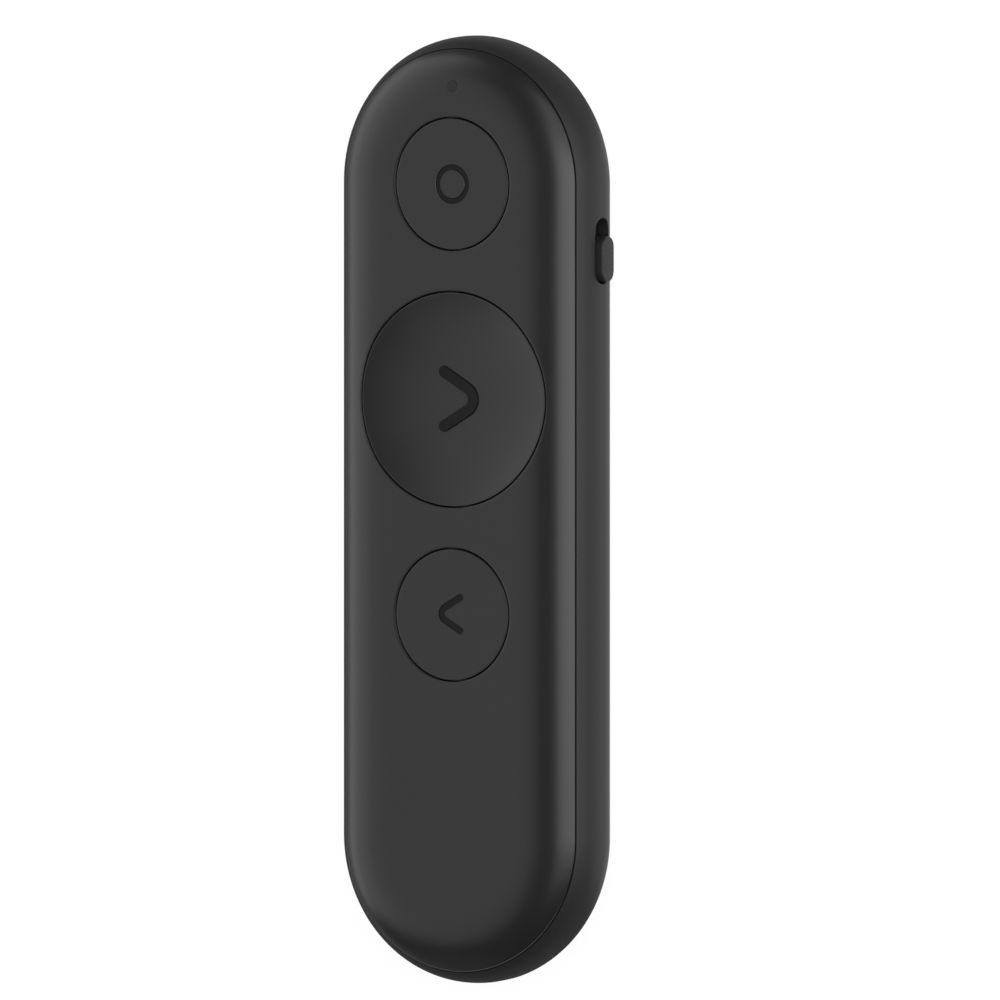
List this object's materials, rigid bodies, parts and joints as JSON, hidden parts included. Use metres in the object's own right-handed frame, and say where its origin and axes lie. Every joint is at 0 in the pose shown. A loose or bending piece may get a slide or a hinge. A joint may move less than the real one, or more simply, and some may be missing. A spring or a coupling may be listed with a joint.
{
  "type": "wireless presentation clicker",
  "caption": "Pocket presentation clicker with a pill-shaped two-shell case, sprung round keys, a side power slide, a charging socket and a status light.",
  "frame": {"origin": "centre of the flat back, where the clicker rests when it lies on a desk", "axes": "+Z out of the face with the keys, +Y along the length towards the status light, +X towards the side with the power slide"},
  "size_m": [0.0307, 0.0968, 0.0118],
  "materials": {
    "housing_plastic": "fine matte spark-eroded texture",
    "cover_plastic": "satin soft sheen",
    "key_plastic": "satin soft sheen",
    "mark_plastic": "dark matte inlay",
    "window_plastic": "smoked glossy light guide",
    "slide_plastic": "matte with fine ribs",
    "plunger_plastic": "plain moulded",
    "switch_case": "plain moulded",
    "spring_steel": "rolled spring sheet",
    "lever_plastic": "plain moulded",
    "tinned_steel": "tinned sheet",
    "screw_steel": "zinc plated",
    "circuit_board": "green solder resist",
    "chip_resin": "moulded resin",
    "ceramic": "fired ceramic",
    "tongue_plastic": "moulded insert",
    "cell_foil": "laminated foil pouch",
    "foam": "foam tape",
    "lead_sleeve": "insulated lead"
  },
  "bodies": {
    "case": {"rear_housing": "housing_plastic", "front_cover": "cover_plastic", "status_window": "window_plastic", "pointer_dome": "spring_steel", "pointer_switch": "switch_case", "next_dome": "spring_steel", "next_switch": "switch_case", "back_dome": "spring_steel", "back_switch": "switch_case", "slide_switch": "tinned_steel", "main_board": "circuit_board", "board_screws": "screw_steel", "status_led": "lever_plastic", "radio_chip": "chip_resin", "crystal": "tinned_steel", "motion_sensor": "chip_resin", "chip_antenna": "ceramic", "charger_chip": "chip_resin", "power_inductor": "chip_resin", "capacitors": "ceramic", "resistors": "chip_resin", "usb_shell": "tinned_steel", "usb_tongue": "tongue_plastic", "battery_cell": "cell_foil", "battery_pad": "foam", "protection_board": "circuit_board", "battery_leads": "lead_sleeve", "battery_plug": "lever_plastic", "battery_header": "lever_plastic"},
    "pointer_key": {"pointer_button": "key_plastic", "pointer_mark": "mark_plastic", "pointer_plunger": "plunger_plastic"},
    "next_key": {"next_button": "key_plastic", "next_mark": "mark_plastic", "next_plunger": "plunger_plastic"},
    "back_key": {"back_button": "key_plastic", "back_mark": "mark_plastic", "back_plunger": "plunger_plastic"},
    "power_slide": {"power_slider": "slide_plastic", "slide_lever": "lever_plastic"}
  },
  "joints": [
    {"name": "pointer_press", "type": "slide", "parent": "case", "child": "pointer_key", "axis": [0, 0, -1], "range_m": [0, 0.0003], "stiffness_N_per_m": 800, "deforming": ["pointer_dome"]},
    {"name": "next_press", "type": "slide", "parent": "case", "child": "next_key", "axis": [0, 0, -1], "range_m": [0, 0.0003], "stiffness_N_per_m": 800, "deforming": ["next_dome"]},
    {"name": "back_press", "type": "slide", "parent": "case", "child": "back_key", "axis": [0, 0, -1], "range_m": [0, 0.0003], "stiffness_N_per_m": 800, "deforming": ["back_dome"]},
    {"name": "power_slide_move", "type": "slide", "parent": "case", "child": "power_slide", "axis": [0, 1, 0], "range_m": [0, 0.0016]}
  ]
}
